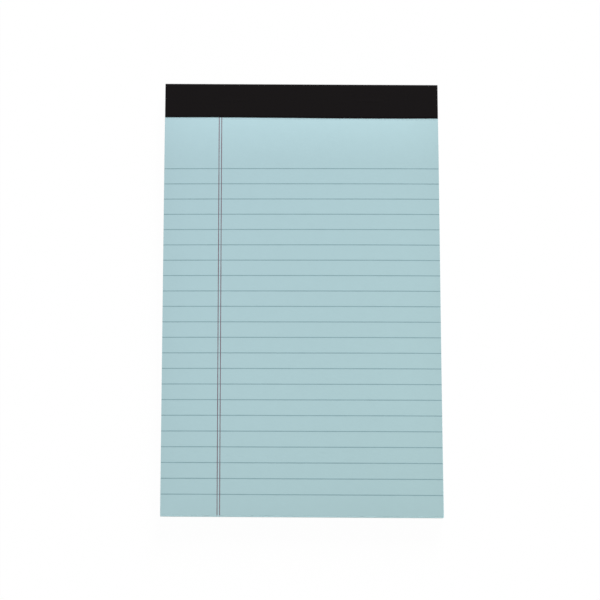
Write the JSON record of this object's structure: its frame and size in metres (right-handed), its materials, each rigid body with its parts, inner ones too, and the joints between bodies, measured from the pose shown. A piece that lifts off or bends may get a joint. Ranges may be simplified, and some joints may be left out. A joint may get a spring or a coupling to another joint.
{
  "type": "legal pad",
  "caption": "Small legal pad of ruled pale blue sheets with a double margin line, stapled to a stiff backing board and bound at the top with a folded black tape.",
  "frame": {"origin": "middle of the pad's underside as it lies on its board, at the level of the surface under it", "axes": "+X across the page to the right, +Y up the page to the bound edge, +Z out of the page"},
  "size_m": [0.127, 0.2032, 0.0063],
  "materials": {
    "board_card": "unbleached grey-brown chipboard, matte, with flecks",
    "sheet_paper": "pale blue uncoated writing paper",
    "tape_black": "black binding tape with a fine grain, satin",
    "staple_wire": "galvanised flat wire",
    "rule_ink": "thin grey-blue printed ink",
    "margin_ink": "thin violet-grey printed ink, red ink on blue stock"
  },
  "bodies": {
    "root": {"backing_board": "board_card", "pages": "sheet_paper", "binding_tape": "tape_black", "staples": "staple_wire", "ruled_lines": "rule_ink", "margin_lines": "margin_ink"}
  },
  "joints": []
}
